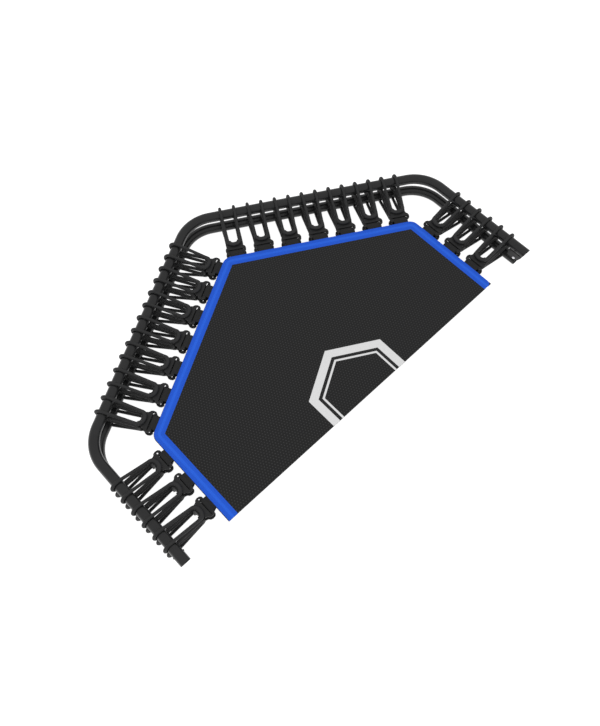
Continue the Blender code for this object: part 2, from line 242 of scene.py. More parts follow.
def mat_mesh():
    """Black woven mesh with rows of slightly paler raised knots, each row set half a step from the next."""
    step = 7.0 * MM
    thread = 1.1 * MM
    made, nodes, links, shader = start_material("mat_fabric")
    shader_values(shader, Roughness=0.72, Specular_IOR_Level=0.35)
    place = coordinates(nodes, "Object")
    rows = math.sqrt(3)
    grid = vector_node(nodes, links, "MULTIPLY", place, (1 / step, 1 / (step * rows), 0))
    nearest = None
    for shift in (0.0, 0.5):
        moved = vector_node(nodes, links, "ADD", grid, (shift, shift, 0))
        cell = vector_node(nodes, links, "FRACTION", moved)
        centred = vector_node(nodes, links, "SUBTRACT", cell, (0.5, 0.5, 0))
        squared = vector_node(nodes, links, "MULTIPLY", centred, (1, rows, 0))
        away = vector_node(nodes, links, "LENGTH", squared)
        nearest = away if nearest is None else math_node(nodes, links, "MINIMUM", nearest, away)
    colour = ramp(nodes, links, nearest, 0.26, 0.08, [(0.0095, 0.0095, 0.0097), (0.0440, 0.0440, 0.0445)])
    split = nodes.new("ShaderNodeSeparateXYZ")
    links.new(place, split.inputs[0])
    weave = crossed_waves(nodes, links, split.outputs["X"], split.outputs["Y"], thread, 1 / thread)
    links.new(colour, shader.inputs["Base Color"])
    knot = math_node(nodes, links, "MULTIPLY", nearest, -1.2)
    height = math_node(nodes, links, "ADD", knot, math_node(nodes, links, "MULTIPLY", weave, 0.25))
    add_bump(nodes, links, shader, height, 0.25 * MM, 0.5)
    return made


STEEL = powder_coat("powder_coated_steel", [(0.0115, 0.0115, 0.012), (0.0150, 0.0150, 0.0155)], 0.24)
# The gusset plate's coat has lighter tones than the tubes': painted light, standing in for the light that
# falls on its sideways face.
PLATE_STEEL_PAINTED_LIGHT = powder_coat("plate_steel_painted_light", [(0.017, 0.017, 0.018), (0.022, 0.022, 0.023)], 0.5)
ZINC = speckled(
    "zinc_plated_steel",
    [(0.62, 0.62, 0.64), (0.80, 0.80, 0.82)],
    300,
    (2500, 3),
    (0.03 * MM, 0.5),
    Roughness=0.28,
    Metallic=1.0,
)
PLASTIC = speckled(
    "black_plastic",
    [(0.0135, 0.0135, 0.014), (0.0180, 0.0180, 0.0185)],
    60,
    (2200, 2),
    (0.04 * MM, 0.6),
    Roughness=0.58,
    Specular_IOR_Level=0.32,
)
INK = speckled(
    "white_ink",
    [(0.70, 0.70, 0.70), (0.80, 0.80, 0.80)],
    900,
    (900, 3),
    (0.05 * MM, 0.4),
    Roughness=0.6,
    Specular_IOR_Level=0.3,
)
CORD = bungee_cover()
MAT = mat_mesh()
BLUE = woven_tape(
    "blue_tape",
    (0.0195, 0.103, 0.645),
    (0.0230, 0.116, 0.695),
    1.6 * MM,
    0.12,
    rib=(12.4 * MM, 3.2 * MM, (0.0265, 0.134, 0.765)),
)
WEBBING = woven_tape("black_webbing", (0.0130, 0.0130, 0.0135), (0.0210, 0.0210, 0.0215), 1.5 * MM, 0.3)


# ---------------------------------------------------------------- mesh helpers
def add_object(name, mesh, matrix=None):
    obj = bpy.data.objects.new(name, mesh)
    bpy.context.scene.collection.objects.link(obj)
    if matrix:
        obj.matrix_world = matrix
    return obj


def register(piece, body, node=None):
    """Says which body carries a piece, and which CAD node it stands for."""
    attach(piece, body)
    if node:
        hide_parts(node)


def coat_mesh(mesh, coat, smooth_angle):
    """Gives a mesh one material, and smooth shading that stays sharp above an angle in degrees."""
    mesh.materials.clear()
    mesh.materials.append(coat)
    mesh.polygons.foreach_set("material_index", [0] * len(mesh.polygons))
    mesh.shade_smooth()
    mesh.set_sharp_from_angle(angle=math.radians(smooth_angle))
    return mesh


def mesh_from(shape, name, coat, smooth_angle):
    bmesh.ops.recalc_face_normals(shape, faces=shape.faces)
    mesh = bpy.data.meshes.new(name)
    shape.to_mesh(mesh)
    shape.free()
    return coat_mesh(mesh, coat, smooth_angle)


def grid_faces(shape, rows, close_rows, close_columns, uv=None):
    """Joins rows of points into quads. uv(row, column) gives each corner's place on the texture."""
    layer = shape.loops.layers.uv.verify() if uv else None
    row_count = len(rows)
    columns = len(rows[0])
    for row in range(row_count if close_rows else row_count - 1):
        for column in range(columns if close_columns else columns - 1):
            corners = [(row, column), (row, column + 1), (row + 1, column + 1), (row + 1, column)]
            face = shape.faces.new([rows[r % row_count][c % columns] for r, c in corners])
            if uv:
                for loop, corner in zip(face.loops, corners):
                    loop[layer].uv = uv(*corner)


def close_ends(shape, rows):
    shape.faces.new(rows[0])
    shape.faces.new(rows[-1])


def path_lengths(points, closed):
    """How far each point is along a path, and the whole length at the end where it is closed."""
    lengths = [0.0]
    ends = points[1:] + points[:1] if closed else points[1:]
    for here, there in zip(points, ends):
        lengths.append(lengths[-1] + (there - here).length)
    return lengths


def cord_mesh(name, points, radius, sides, coat, spread):
    """A cord along a closed path, with no twist where the ends meet. spread(point) widens it sideways."""
    count = len(points)
    tangents = [(points[(i + 1) % count] - points[i - 1]).normalized() for i in range(count)]
    normal = tangents[0].orthogonal().normalized()
    normals = [normal]
    for before, after in zip(tangents, tangents[1:] + tangents[:1]):
        normal = (before.rotation_difference(after) @ normal).normalized()
        normals.append(normal)
    last = normals.pop()
    twist = math.atan2(tangents[0].dot(last.cross(normals[0])), last.dot(normals[0]))
    lengths = path_lengths(points, closed=True)
    shape = bmesh.new()
    rows = []
    for index, (point, tangent, normal) in enumerate(zip(points, tangents, normals)):
        turned = Matrix.Rotation(twist * index / count, 3, tangent) @ normal
        side = tangent.cross(turned)
        level = tangent.cross(Vector((0, 0, 1))).normalized()
        row = []
        for step in range(sides):
            turn = math.tau * step / sides
            offset = radius * (math.cos(turn) * turned + math.sin(turn) * side)
            row.append(shape.verts.new(point + offset + spread(point) * offset.dot(level) * level))
        rows.append(row)
    grid_faces(shape, rows, True, True, uv=lambda row, column: (lengths[row], column / sides))
    return mesh_from(shape, name, coat, 60)


def rounded(corners):
    """An outline from (x, y, radius) corners, each turned into an arc."""
    steps = 6
    outline = []
    count = len(corners)
    for index, (x, y, radius) in enumerate(corners):
        here = Vector((x, y))
        to_before = (Vector(corners[index - 1][:2]) - here).normalized()
        to_after = (Vector(corners[(index + 1) % count][:2]) - here).normalized()
        half = to_before.angle(to_after) / 2
        reach = radius / math.tan(half)
        centre = here + (to_before + to_after).normalized() * radius / math.sin(half)
        first = here + to_before * reach - centre
        second = here + to_after * reach - centre
        turn = first.angle_signed(second)
        for step in range(steps + 1):
            share = -turn * step / steps
            spun = Matrix.Rotation(share, 2) @ first
            outline.append(centre + spun)
    return outline


def plate(name, outline, holes, low, high, bevel):
    """A solid plate in the XY plane from low to high, with rounded edges and holes."""
    curve = bpy.data.curves.new(name, "CURVE")
    curve.dimensions = "2D"
    curve.fill_mode = "BOTH"
    curve.extrude = (high - low) / 2 - bevel
    curve.bevel_depth = bevel
    curve.bevel_resolution = 2
    curve.offset = -bevel
    for points in [outline, *holes]:
        spline = curve.splines.new("POLY")
        spline.points.add(len(points) - 1)
        for point, spot in zip(spline.points, points):
            point.co = (spot[0], spot[1], 0, 1)
        spline.use_cyclic_u = True
    obj = add_object(name, curve, Matrix.Translation((0, 0, (low + high) / 2)))
    graph = bpy.context.evaluated_depsgraph_get()
    mesh = bpy.data.meshes.new_from_object(obj.evaluated_get(graph))
    mesh.transform(obj.matrix_world)
    bpy.data.objects.remove(obj)
    shape = bmesh.new()
    shape.from_mesh(mesh)
    bmesh.ops.remove_doubles(shape, verts=shape.verts, dist=0.01 * MM)
    shape.to_mesh(mesh)
    shape.free()
    return add_object(name, mesh)


def oval(u, v, long, short):
    """An oval hole in a plate, long by short in half widths."""
    steps = 20
    turns = [math.tau * step / steps for step in range(steps)]
    return [(u + long * math.cos(turn), v + short * math.sin(turn)) for turn in turns]


def join_solids(target, others, operation="UNION"):
    """Joins other solids to the target, or cuts them out of it, and removes them."""
    for other in others:
        modifier = target.modifiers.new(operation, "BOOLEAN")
        modifier.operation = operation
        modifier.object = other
        graph = bpy.context.evaluated_depsgraph_get()
        result = bpy.data.meshes.new_from_object(target.evaluated_get(graph))
        target.modifiers.clear()
        target.data = result
        bpy.data.objects.remove(other)


def take_mesh(obj, coat, smooth_angle=35):
    mesh = coat_mesh(obj.data, coat, smooth_angle)
    bpy.data.objects.remove(obj)
    return mesh


def hexagon_point(apothem, degrees):
    reach = apothem / COS30
    turn = math.radians(degrees)
    return Vector((reach * math.cos(turn), reach * math.sin(turn) + CENTRE_Y))


def half_hexagon(apothem, end_y):
    """The half hexagon's three corners between its two ends at end_y."""
    corners = [hexagon_point(apothem, corner) for corner in CORNERS]
    return [Vector((apothem, end_y)), *corners, Vector((-apothem, end_y))]


def side_matrix(degrees):
    """Places a side's own frame."""
    outward = Vector((math.cos(math.radians(degrees)), math.sin(math.radians(degrees)), 0))
    origin = Vector((0, CENTRE_Y, DECK_Z)) + FRAME_APOTHEM * outward
    return Matrix.Translation(origin) @ Matrix.Rotation(math.radians(degrees + 90), 4, "Z")


# ---------------------------------------------------------------- frame tubes
def tube_stations(apothem, bend, end_y, steps):
    """(centre, outward direction, share of a cut end) along a half hexagon with round bends."""
    lip = 0.4 * MM
    ends = [(end_y, 1.0, 1.0), (end_y + lip, 1.0, 0.0), (end_y + 60 * MM, 0.0, 0.0)]
    stations = [(Vector((apothem, y)), Vector((1, 0)), cut, edge) for y, cut, edge in ends]
    for corner in CORNERS:
        centre = hexagon_point(apothem - bend, corner)
        for step in range(steps + 1):
            turn = math.radians(corner - 30 + 60 * step / steps)
            outward = Vector((math.cos(turn), math.sin(turn)))
            stations.append((centre + bend * outward, outward, 0.0, 0.0))
    stations += [(Vector((-apothem, y)), Vector((-1, 0)), cut, edge) for y, cut, edge in ends[::-1]]
    return stations


def frame_tube(name, node, axis_z, end_y, undercut):
    """A bent steel tube with a real wall, open at its slanted ends, each edge slightly broken."""
    sides = 40
    edge_break = 0.35 * MM
    shape = bmesh.new()
    stations = tube_stations(FRAME_APOTHEM, BEND_R, end_y, 20)

    def skin(radius, outwards):
        rows = []
        for centre, outward, cut, edge in stations:
            size = radius + outwards * edge * edge_break
            row = []
            for step in range(sides):
                turn = math.tau * step / sides
                rise = size * math.sin(turn)
                back = cut * (TUBE_R - rise) * math.tan(undercut)
                spot = centre + outward * size * math.cos(turn)
                row.append(shape.verts.new((spot.x, spot.y + back, axis_z + rise)))
            rows.append(row)
        return rows

    rows = skin(TUBE_R, -1) + skin(TUBE_R - TUBE_WALL, 1)[::-1]
    grid_faces(shape, rows, True, True)
    tube = add_object(name, mesh_from(shape, name, STEEL, 30))
    register(tube, "frame", node)


# ---------------------------------------------------------------- frame ends
def box_middle(node):
    low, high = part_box(node)
    return (low + high) / 2


def gusset(side, sign):
    """The plate between the tubes, with broken edges and a weld bead along the lower tube."""
    low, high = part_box("end_gusset_" + side)
    corners = [
        (high.y, low.z, 1.5 * MM),
        (high.y, high.z, 1.5 * MM),
        (low.y, high.z, 0.5 * MM),
        (low.y + 2 * MM, high.z - 7.5 * MM, 8 * MM),
        (low.y + 7 * MM, low.z + 3.5 * MM, 8 * MM),
        (low.y + 13.5 * MM, low.z, 3 * MM),
    ]
    bolt_middle = box_middle("gusset_bolt_" + side)
    hole_r = 1.8 * MM
    hole = oval(bolt_middle.y, bolt_middle.z, hole_r, hole_r)
    half = (high.x - low.x) / 2
    name = "gusset_plate_" + side
    # The plate's lighter coat is painted light on its sideways face.
    mesh = take_mesh(plate(name, rounded(corners), [hole], -half, half, 0.4 * MM), PLATE_STEEL_PAINTED_LIGHT)
    # The plate is drawn in XY: turn that into YZ, with its thickness along X.
    mesh.transform(Matrix(((0, 0, 1, (low.x + high.x) / 2), (1, 0, 0, 0), (0, 1, 0, 0), (0, 0, 0, 1))))
    register(add_object(name, mesh), "frame", "end_gusset_" + side)
    outer_x = high.x if sign > 0 else low.x
    bead = weld_bead("weld_" + side, outer_x, low.y + 13 * MM, high.y - 1 * MM, low.z - 0.1 * MM)
    register(bead, "frame")


def weld_bead(name, x, low_y, high_y, z):
    """A row of overlapping weld ripples along Y."""
    shape = bmesh.new()
    sides = 10
    steps = 60
    ripples = 14
    bead_r = 1.25 * MM
    rows = []
    for step in range(steps + 1):
        share = step / steps
        y = low_y + (high_y - low_y) * share
        swell = bead_r * (0.82 + 0.18 * abs(math.sin(share * math.pi * ripples)))
        swell *= min(1.0, 0.15 + 12 * min(share, 1 - share))
        ring = []
        for side in range(sides):
            turn = math.tau * side / sides
            ring.append(shape.verts.new((x + swell * math.cos(turn), y, z + swell * math.sin(turn))))
        rows.append(ring)
    grid_faces(shape, rows, False, True)
    close_ends(shape, rows)
    return add_object(name, mesh_from(shape, name, STEEL, 60))


def turned(profile, sides, name, coat):
    """A solid turned about X from (along, radius) points, closed at both ends."""
    shape = bmesh.new()
    rows = []
    for along, radius in profile:
        row = []
        for side in range(sides):
            turn = math.tau * (side + 0.5) / sides
            row.append(shape.verts.new((along, radius * math.cos(turn), radius * math.sin(turn))))
        rows.append(row)
    grid_faces(shape, rows, False, True)
    close_ends(shape, rows)
    return mesh_from(shape, name, coat, 30)


def dome(start, radius, height, sign):
    """Profile points of a domed head that begins at start and rises along sign."""
    steps = 6
    tip_r = 0.15 * MM
    points = []
    for step in range(steps + 1):
        turn = math.pi / 2 * step / steps
        points.append((start + sign * height * math.sin(turn), max(radius * math.cos(turn), tip_r)))
    return points


def bolt(name, node, centre, half_length, sign, coat, head_r, head_h, nut):
    """A bolt along X: a domed head on its inner face and a hexagon nut or a plain tip on the other."""
    shank = 1.5 * MM if nut else 2.0 * MM
    nut_end = 2.6 * MM if nut else 0
    head = dome(-half_length, head_r, head_h, -1)[::-1] + [(-half_length, shank)]
    tip = [(half_length, shank)] + dome(half_length + nut_end, shank, 1 * MM, 1)
    body = add_object(name, turned(head + tip, 24, name, coat))
    pieces = [body]
    if nut:
        nut_profile = [
            (half_length, 2.4 * MM),
            (half_length + 0.3 * MM, 2.8 * MM),
            (half_length + 2.2 * MM, 2.8 * MM),
            (half_length + 2.5 * MM, 2.4 * MM),
        ]
        pieces.append(add_object(name + "_nut", turned(nut_profile, 6, name + "_nut", coat)))
    for piece in pieces:
        piece.data.transform(Matrix.Translation(centre) @ Matrix.Diagonal((sign, 1, 1, 1)))
        if sign < 0:
            piece.data.flip_normals()
        register(piece, "frame", node if piece is body else None)


def frame_ends():
    for side, sign in (("right", 1), ("left", -1)):
        gusset(side, sign)
        low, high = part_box("end_gusset_" + side)
        bolt_middle = box_middle("gusset_bolt_" + side)
        centre = Vector(((low.x + high.x) / 2, bolt_middle.y, bolt_middle.z))
        half = (high.x - low.x) / 2 + 0.2 * MM
        name = "plate_bolt_" + side
        bolt(name, "gusset_bolt_" + side, centre, half, sign, ZINC, 4.4 * MM, 2.4 * MM, True)
        low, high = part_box("cross_bolt_" + side)
        centre = (low + high) / 2
        half = (high.x - low.x) / 2 - 1.2 * MM
        bolt("tube_pin_" + side, "cross_bolt_" + side, centre, half, sign, STEEL, 2.6 * MM, 1.2 * MM, False)


# ---------------------------------------------------------------- bungee rings
def touch_turn(centre_z, point, radius, below):
    """The angle round a tube at which a straight run to the point (v, z) leaves it."""
    away_v = point[0]
    away_z = point[1] - centre_z
    distance = math.hypot(away_v, away_z)
    lean = math.atan2(away_z, away_v)
    spread = math.acos(radius / distance)
    return lean - spread if below else lean + spread


def wrap(centre_z, first, last):
    """Points round a tube's far side, from the run that leaves its top to the one under it."""
    steps = 18
    radius = TUBE_R + CORD_R + 0.15 * MM
    start = touch_turn(centre_z, first, radius, below=False)
    end = touch_turn(centre_z, last, radius, below=True) + math.tau
    turns = [start + (end - start) * step / steps for step in range(steps + 1)]
    return [(radius * math.cos(turn), centre_z + radius * math.sin(turn)) for turn in turns]


def hook_point(turn, inset=0.0):
    """A point at an inset from the hook's line: one arm starts at turn 0, and the other at half a turn."""
    cosine = math.cos(turn)
    u = (HOOK_HALF - inset) * math.copysign(abs(cosine) ** HOOK_POWER, cosine)
    return u, HOOK_START + (HOOK_V - HOOK_START - inset) * abs(math.sin(turn)) ** HOOK_POWER


def ring_route():
    """One strand's half of the ring in a side's own frame; the other half mirrors it."""
    across = STRAND_SPACING / 2
    return_r = (UPPER_RETURN - LOWER_RETURN) / 2
    steps = 8
    hook = [hook_point(math.pi / 2 * (1 - step / steps)) for step in range(steps + 1)]
    top = [(u, v, TOP_LEVEL) for u, v in hook]
    bottom = [(u, v, BOTTOM_LEVEL) for u, v in hook[::-1]]
    turnround = []
    for step in range(steps + 1):
        angle = math.pi / 2 - math.pi * step / steps
        v = RETURN_V + return_r * math.cos(angle)
        turnround.append((across, v, RETURN_MIDDLE + return_r * math.sin(angle)))
    upper = wrap(UPPER_OVER, (HOOK_START, TOP_LEVEL), (RETURN_V, UPPER_RETURN))
    lower = wrap(LOWER_OVER, (RETURN_V, LOWER_RETURN), (HOOK_START, BOTTOM_LEVEL))
    strand = top + [(across, v, z) for v, z in upper] + turnround
    strand += [(across, v, z) for v, z in lower] + bottom
    return [Vector(spot) for spot in strand]


def evenly(points, spacing):
    """The same closed path with points at even steps, softened where straight runs meet bends."""
    lengths = path_lengths(points, closed=True)
    count = round(lengths[-1] / spacing)
    loop = points + points[:1]
    spots = []
    index = 0
    for step in range(count):
        want = lengths[-1] * step / count
        while lengths[index + 1] < want:
            index += 1
        share = (want - lengths[index]) / (lengths[index + 1] - lengths[index])
        spots.append(loop[index].lerp(loop[index + 1], share))
    for _ in range(3):
        beside = [spots[i - 1] + spots[(i + 1) % count] for i in range(count)]
        spots = [0.5 * spot + 0.25 * pair for spot, pair in zip(spots, beside)]
    return spots


def hook_spread(point):
    """How much the cord flattens where it is pulled tight round a hook: most at the hook's end."""
    most = 0.3
    start_v = 76 * MM
    run = 12 * MM
    near_level = min(abs(point.z - TOP_LEVEL), abs(point.z - BOTTOM_LEVEL)) < 2 * MM
    share = min(max((point.y - start_v) / run, 0), 1)
    return most * share * share * (3 - 2 * share) if near_level else 0.0


def ring_points():
    """The whole ring's path: one strand's half and its mirror image."""
    spacing = 3 * MM
    strand = ring_route()
    mirrored = [Vector((-spot.x, spot.y, spot.z)) for spot in strand[::-1]]
    loop = strand + mirrored[1:-1]
    return evenly(loop, spacing)


# ---------------------------------------------------------------- buckles
def box_outline(half, front, rear, radius):
    corners = ((-half, front), (half, front), (half, rear), (-half, rear))
    return rounded([(u * MM, v * MM, radius * MM) for u, v in corners])


def hook_curve(inset):
    """The line that runs inset inside the hook's middle line, from one arm to the other."""
    steps = 14
    return [hook_point(math.pi * step / steps, inset) for step in range(steps + 1)]


def buckle_mesh():
    """The moulded buckle, in a side's own frame at a hanger's middle: an upper and a lower plate with lobed
    ears, joined by a core in front of the slot, and a curved tongue inside the ring's two hooks."""
    # One half of both plates' outline: across, along and corner radius, in millimetres
    half = [
        (19.3, 89.9, 0.8),
        (19.8, 95.5, 8.0),
        (24.6, 98.6, 4.0),
        (26.5, 104.5, 5.0),
        (25.4, 111.5, 5.0),
        (21.0, 115.2, 2.5),
    ]
    corners = [(u * MM, v * MM, r * MM) for u, v, r in half]
    corners += [(-u, v, r) for u, v, r in corners[::-1]]
    outline = rounded(corners)
    body = plate("body", outline, [], -3.2 * MM, 1.8 * MM, 0.8 * MM)
    under = plate("under", outline, [], -25.2 * MM, -20.2 * MM, 0.8 * MM)
    # Each plate's slot with its front edge, and the holes in its ears with their middles and half lengths
    cuts = ((body, 8 * MM, 104.9, 19.4, 3.4), (under, -15 * MM, 105.6, 18.0, 2.6))
    for solid, high, front, ear, long in cuts:
        low = high - 12 * MM
        cutters = [plate("slot", box_outline(17.6, front, 119, 0.4), [], low, high, 0.3 * MM)]
        for sign in (-1, 1):
            hole = oval(sign * ear * MM, 106.6 * MM, long * MM, 1.8 * MM)
            cutters.append(plate("end", hole, [], low, high, 0.3 * MM))
        join_solids(solid, cutters, "DIFFERENCE")
    join_solids(body, [under])
    core = plate("core", box_outline(15, 93.8, 103.8, 1.5), [], -24 * MM, 0 * MM, 0.5 * MM)
    bar_outline = box_outline(18.6, 107.8, 112.9, 1.0)
    bars = [plate("bar", bar_outline, [], z * MM, (z + 1.8) * MM, 0.6 * MM) for z in (-2.7, -22.9)]
    tongue_inner = [(u, max(v, 78.4 * MM)) for u, v in hook_curve(7.8 * MM)[::-1]]
    tongue_outline = hook_curve(5.4 * MM) + tongue_inner
    tongue = plate("tongue", tongue_outline, [], -31.5 * MM, 4.6 * MM, 0.6 * MM)
    neck = plate("neck", box_outline(10, 84, 96, 1.0), [], -25 * MM, 1.4 * MM, 0.5 * MM)
    join_solids(body, [core, *bars, neck, tongue])

    # Two pegs reach out from the tongue's sides into the ring's turns.
    profile = [(8.4 * MM, 2.2 * MM), (22.2 * MM, 2.2 * MM), (22.6 * MM, 1.7 * MM)]
    for sign in (-1, 1):
        peg = add_object("peg", turned(profile, 20, "peg", PLASTIC))
        spot = Matrix.Translation((0, 79.6 * MM, RETURN_MIDDLE))
        peg.data.transform(spot @ Matrix.Diagonal((sign, 1, 1, 1)))
        if sign < 0:
            peg.data.flip_normals()
        join_solids(body, [peg])
    return take_mesh(body, PLASTIC, 32)


# ---------------------------------------------------------------- webbing loops
def loop_mesh():
    """A strip of webbing that goes down through both of the buckle's slots and back round its lower bar:
    its top layer meets the binding's edge, and its tail is sewn below the binding."""
    thick = 1.3 * MM
    half_width = 17.2 * MM
    weave_width = 36 * MM
    top_run = [(123.25, -1.3), (118.5, -0.75), (114.5, -0.30), (112.5, -0.25), (109.0, -0.25)]
    fold = [(107.7, -0.45), (107.05, -1.1), (106.9, -2.2)]
    descent = [(106.9, -6.0), (106.9, -14.0), (106.9, -21.0), (107.1, -22.6), (107.9, -23.6)]
    lower_bar = [(109.5, -23.9), (112.0, -23.8), (113.6, -23.0)]
    tail = [(119.0, -13.5), (124.0, -5.6), (126.0, -4.3), (128.0, -4.05), (136.0, -4.05)]
    route = [Vector((0, v * MM, z * MM)) for v, z in top_run + fold + descent + lower_bar + tail]
    count = len(route)
    lengths = path_lengths(route, closed=False)
    columns = 9
    shape = bmesh.new()
    outer, inner = [], []
    for index, spot in enumerate(route):
        along = (route[min(index + 1, count - 1)] - route[max(index - 1, 0)]).normalized()
        normal = Vector((0, -along.z, along.y))
        for rows, side in ((outer, -1), (inner, 1)):
            row = []
            for column in range(columns):
                across = 2 * column / (columns - 1) - 1
                edge = 1 - 0.45 * abs(across) ** 8
                place = spot + normal * side * thick / 2 * edge
                row.append(shape.verts.new((across * half_width, place.y, place.z)))
            rows.append(row)

    def uv(row, column):
        return (lengths[min(row, count - 1)], column / (columns - 1) * weave_width)

    grid_faces(shape, outer, False, False, uv)
    grid_faces(shape, inner, False, False, uv)
    for end in (0, -1):
        grid_faces(shape, [outer[end], inner[end]], False, False)
        grid_faces(shape, [[row[end] for row in outer], [row[end] for row in inner]], False, False)
    return mesh_from(shape, "webbing_loop", WEBBING, 50)


def stitch(shape, centre, along, up, length, radius):
    """One lockstitch: a short thread that dips at both ends."""
    across = along.cross(up)
    rows = []
    for step in range(5):
        share = step / 4
        rise = radius * (1.5 * math.sin(math.pi * share) - 0.35)
        size = radius * (0.55 + 0.45 * math.sin(math.pi * share))
        middle = centre + along * length * (share - 0.5) + up * rise
        row = []
        for side in range(6):
            turn = math.tau * side / 6
            row.append(shape.verts.new(middle + size * (math.cos(turn) * across + math.sin(turn) * up)))
        rows.append(row)
    grid_faces(shape, rows, False, True)
    close_ends(shape, rows)


def loop_stitches():
    """Two rows of stitches across the loop's top layer, just outside the binding."""
    shape = bmesh.new()
    up = Vector((0, 0.13, 0.99)).normalized()
    for v, z in ((117.2, 0.10), (120.2, -0.25)):
        for step in range(-4, 5):
            centre = Vector((step * 3.6 * MM, v * MM, z * MM))
            stitch(shape, centre, Vector((1, 0, 0)), up, 2.8 * MM, 0.28 * MM)
    return mesh_from(shape, "loop_stitches", WEBBING, 60)


def flat_strip(name, low, high, coat):
    """A woven strip lying flat, with rounded corners and soft edges, in a side's own frame."""
    spots = ((low.x, low.y), (high.x, low.y), (high.x, high.y), (low.x, high.y))
    outline = rounded([(x, y, 1.5 * MM) for x, y in spots])
    mesh = take_mesh(plate(name, outline, [], low.z, high.z, 0.35 * MM), coat)
    layer = mesh.uv_layers.new(name="UVMap")
    for loop in mesh.loops:
        layer.data[loop.index].uv = mesh.vertices[loop.vertex_index].co.xy
    return mesh


def hem_tape(side, stations, place):
    """The tape under the binding that a side's webbing loops are sewn to, with its two rows of stitches."""
    reach = 20 * MM
    stitch_pitch = 4.2 * MM
    first_stitch = 3 * MM
    low = Vector((min(stations) - reach, 124.6 * MM, -6.3 * MM))
    high = Vector((max(stations) + reach, 137.0 * MM, -4.8 * MM))
    strip = flat_strip("hem_tape_" + side, low, high, WEBBING)
    shape = bmesh.new()
    for v in (127 * MM, 134.6 * MM):
        count = int((high.x - low.x - 2 * first_stitch) / stitch_pitch)
        for step in range(count + 1):
            centre = Vector((low.x + first_stitch + step * stitch_pitch, v, low.z))
            stitch(shape, centre, Vector((1, 0, 0)), Vector((0, 0, -1)), 3.2 * MM, 0.26 * MM)
    thread = mesh_from(shape, "hem_stitches_" + side, WEBBING, 60)
    for name, mesh in (("hem_tape_" + side, strip), ("hem_stitches_" + side, thread)):
        register(add_object(name, mesh, place), "hangers_" + side)


# ---------------------------------------------------------------- hangers on all sides
def hangers():
    """Twenty hangers, numbered from the right end of the frame round to its left end."""
    cord_sides = 14
    ring_path = ring_points()
    buckle = buckle_mesh()
    loop = loop_mesh()
    thread = loop_stitches()
    number = 0
    for side, degrees, stations in SIDES:
        body = "hangers_" + side
        place = side_matrix(degrees)
        hem_tape(side, stations, place)
        for station in stations:
            number += 1
            label = f"{number:02d}"
            here = place @ Matrix.Translation((station, 0, 0))
            clip = add_object("moulded_buckle_" + label, buckle, here)
            register(clip, body, "buckle_" + label)
            web = add_object("webbing_loop_" + label, loop, here)
            register(web, body, "webbing_" + side)
            sewing = add_object("loop_stitches_" + label, thread, here)
            register(sewing, body)

            name = "bungee_" + label
            cord = add_object(name, cord_mesh(name, ring_path, CORD_R, cord_sides, CORD, hook_spread), here)
            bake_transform(cord)
            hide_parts("bungee_ring_" + label)


# ---------------------------------------------------------------- binding
def tape_stations(end_y, steps):
    """(point on the tape's inner edge, outward direction, 1 or -1 at an end) along the tape."""
    inner = TAPE_APOTHEM - TAPE_WIDTH
    stations = [(Vector((inner, end_y)), Vector((1, 0)), 1.0)]
    for corner in CORNERS:
        centre = hexagon_point(inner, corner)
        for step in range(steps + 1):
            turn = math.radians(corner - 30 + 60 * step / steps)
            stations.append((centre, Vector((math.cos(turn), math.sin(turn))), 0.0))
    stations.append((Vector((-inner, end_y)), Vector((-1, 0)), -1.0))
    return stations


def split_long_runs(stations, spacing):
    """Adds stations along the straight sides, so that the tape's weave and edge stay even."""
    result = [stations[0]]
    for before, after in zip(stations, stations[1:]):
        gap = (after[0] - before[0]).length
        pieces = max(1, round(gap / spacing))
        for step in range(1, pieces):
            share = step / pieces
            result.append((before[0].lerp(after[0], share), after[1] if share > 0.5 else before[1], 0.0))
        result.append(after)
    return result


def binding():
    """Blue tape folded over the mat's edge, with a raised rib along its middle."""
    curl = 12 * MM  # how far the tape's cut right end slants back at its outer edge
    curl_width = 6
    # In from the outer edge and up from the deck, in millimetres
    profile = [
        (0.00, -1.50),
        (0.25, -0.70),
        (0.90, -0.15),
        (2.20, 0.00),
        (8.40, 0.00),
        (9.40, 0.28),
        (15.40, 0.28),
        (16.40, 0.00),
        (22.80, 0.00),
        (24.10, -0.20),
        (24.70, -0.65),
        (24.70, -2.35),
        (24.10, -2.80),
        (22.80, -3.00),
        (2.20, -3.00),
        (0.90, -2.85),
        (0.25, -2.30),
    ]
    shape = bmesh.new()
    rows = []
    stations = split_long_runs(tape_stations(mat_low.y, 10), RUN_SPACING)
    for centre, outward, end in stations:
        row = []
        for across, rise in profile:
            spot = centre + outward * (TAPE_WIDTH - across * MM)
            y = spot.y
            if end > 0 and across < curl_width:
                y += curl * (1 - across / curl_width) ** 2
            row.append(shape.verts.new((spot.x, y, DECK_Z + rise * MM)))
        rows.append(row)
    middles = [station[0] + station[1] * TAPE_WIDTH / 2 for station in stations]
    lengths = path_lengths(middles, closed=False)
    count = len(profile)

    def uv(row, column):
        return (lengths[row], profile[column % count][0] * MM)

    grid_faces(shape, rows, False, True, uv)
    close_ends(shape, rows)
    bmesh.ops.remove_doubles(shape, verts=shape.verts, dist=0.005 * MM)
    tape = add_object("blue_binding", mesh_from(shape, "blue_binding", BLUE, 40))
    register(tape, "mat", "edge_binding")
    painted_shadow_strip(stations)
    binding_stitches()


